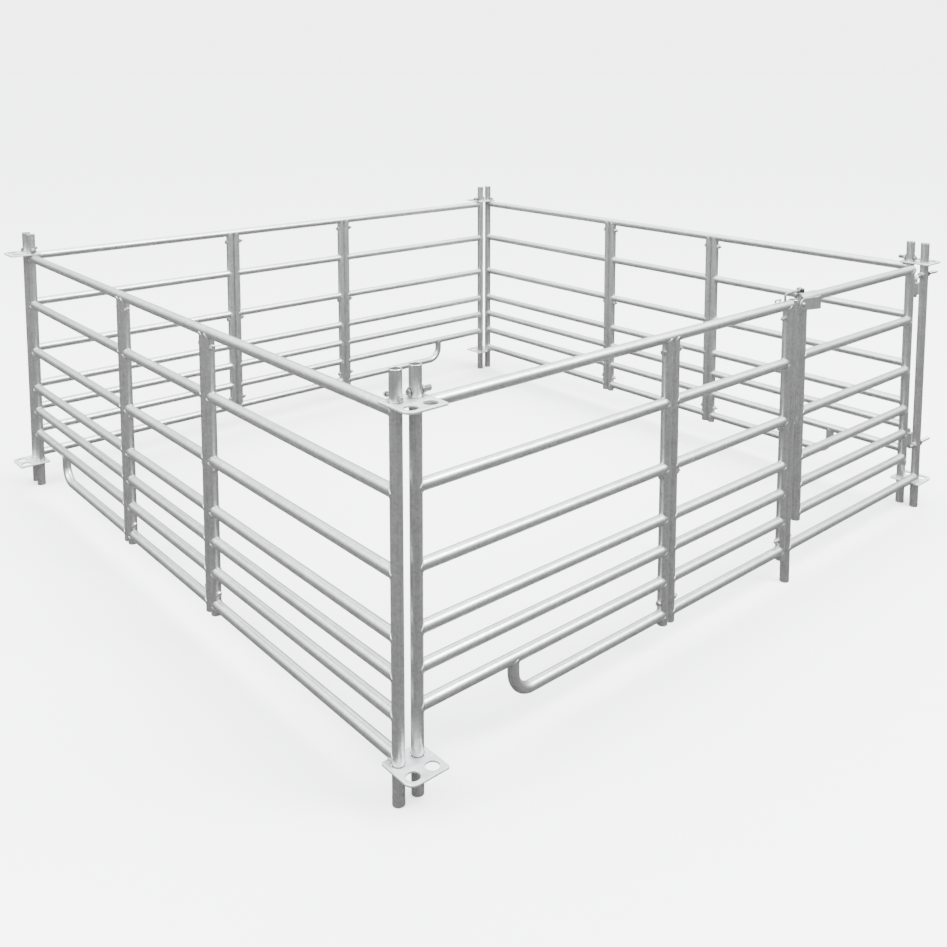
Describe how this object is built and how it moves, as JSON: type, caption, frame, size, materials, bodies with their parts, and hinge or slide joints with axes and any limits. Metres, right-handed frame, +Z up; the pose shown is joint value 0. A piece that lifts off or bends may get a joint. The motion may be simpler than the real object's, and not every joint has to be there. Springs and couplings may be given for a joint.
{
  "type": "livestock panel pen with gate",
  "caption": "Square sheep pen of galvanised round-tube panels bolted side by side, with plates joining the corners and a hinged gate closed by a lifting latch hook.",
  "frame": {"origin": "centre of the square pen on the ground", "axes": "+Z up; +X to the right along the gate side seen from outside; +Y from the gate side to the back"},
  "size_m": [2.887, 2.869, 1.115],
  "materials": {
    "tube_zinc": "hot-dip galvanised, mottled",
    "plate_zinc": "hot-dip galvanised, pale and matt",
    "bolt_zinc": "zinc plated",
    "black_steel": "black oxide"
  },
  "bodies": {
    "pen": {"back_bend_ladder": "tube_zinc", "back_bend_post": "tube_zinc", "back_bend_rail": "tube_zinc", "back_corner_plate_bottom": "plate_zinc", "back_corner_plate_top": "plate_zinc", "back_end_ladder": "tube_zinc", "back_end_post": "tube_zinc", "back_mid_ladder": "tube_zinc", "back_mid_upright": "tube_zinc", "back_pair_bolt_bend": "bolt_zinc", "back_pair_bolt_end": "bolt_zinc", "front_bend_ladder": "tube_zinc", "front_bend_post": "tube_zinc", "front_bend_rail": "tube_zinc", "front_corner_plate_bottom": "plate_zinc", "front_corner_plate_top": "plate_zinc", "front_mid_ladder": "tube_zinc", "front_mid_upright": "tube_zinc", "front_pair_bolt_bend": "bolt_zinc", "front_pair_bolt_end": "bolt_zinc", "gate_frame_post": "tube_zinc", "gate_hinge_post": "tube_zinc", "gate_threshold_rail": "tube_zinc", "hinge_hook_lower": "bolt_zinc", "hinge_hook_upper": "bolt_zinc", "hinge_nut_lower": "black_steel", "hinge_nut_upper": "black_steel", "latch_keeper": "bolt_zinc", "left_bend_ladder": "tube_zinc", "left_bend_post": "tube_zinc", "left_bend_rail": "tube_zinc", "left_corner_plate_bottom": "plate_zinc", "left_corner_plate_top": "plate_zinc", "left_end_ladder": "tube_zinc", "left_end_post": "tube_zinc", "left_mid_ladder": "tube_zinc", "left_mid_upright": "tube_zinc", "left_pair_bolt_bend": "bolt_zinc", "left_pair_bolt_end": "bolt_zinc", "right_bend_ladder": "tube_zinc", "right_bend_post": "tube_zinc", "right_bend_rail": "tube_zinc", "right_corner_plate_bottom": "plate_zinc", "right_corner_plate_top": "plate_zinc", "right_end_ladder": "tube_zinc", "right_end_post": "tube_zinc", "right_mid_ladder": "tube_zinc", "right_mid_upright": "tube_zinc", "right_pair_bolt_bend": "bolt_zinc", "right_pair_bolt_end": "bolt_zinc"},
    "gate_leaf": {"gate_ladder": "tube_zinc", "gate_hinge_stile": "tube_zinc", "gate_lug_upper": "tube_zinc", "gate_lug_lower": "tube_zinc", "latch_saddle": "tube_zinc", "latch_side_plate": "plate_zinc", "latch_catch_bolt": "bolt_zinc", "latch_pivot_bolt": "black_steel"},
    "latch_hook": {"latch_hook": "bolt_zinc"}
  },
  "joints": [
    {"name": "gate_hinge", "type": "hinge", "parent": "pen", "child": "gate_leaf", "pos_m": [1.2725, -1.3425, 0.6], "axis": [0, 0, 1], "range_deg": [0, 110]},
    {"name": "latch_pivot", "type": "hinge", "parent": "gate_leaf", "child": "latch_hook", "pos_m": [0.4165, -1.3443, 1.052], "axis": [0, 1, 0], "range_deg": [0, 100]}
  ]
}
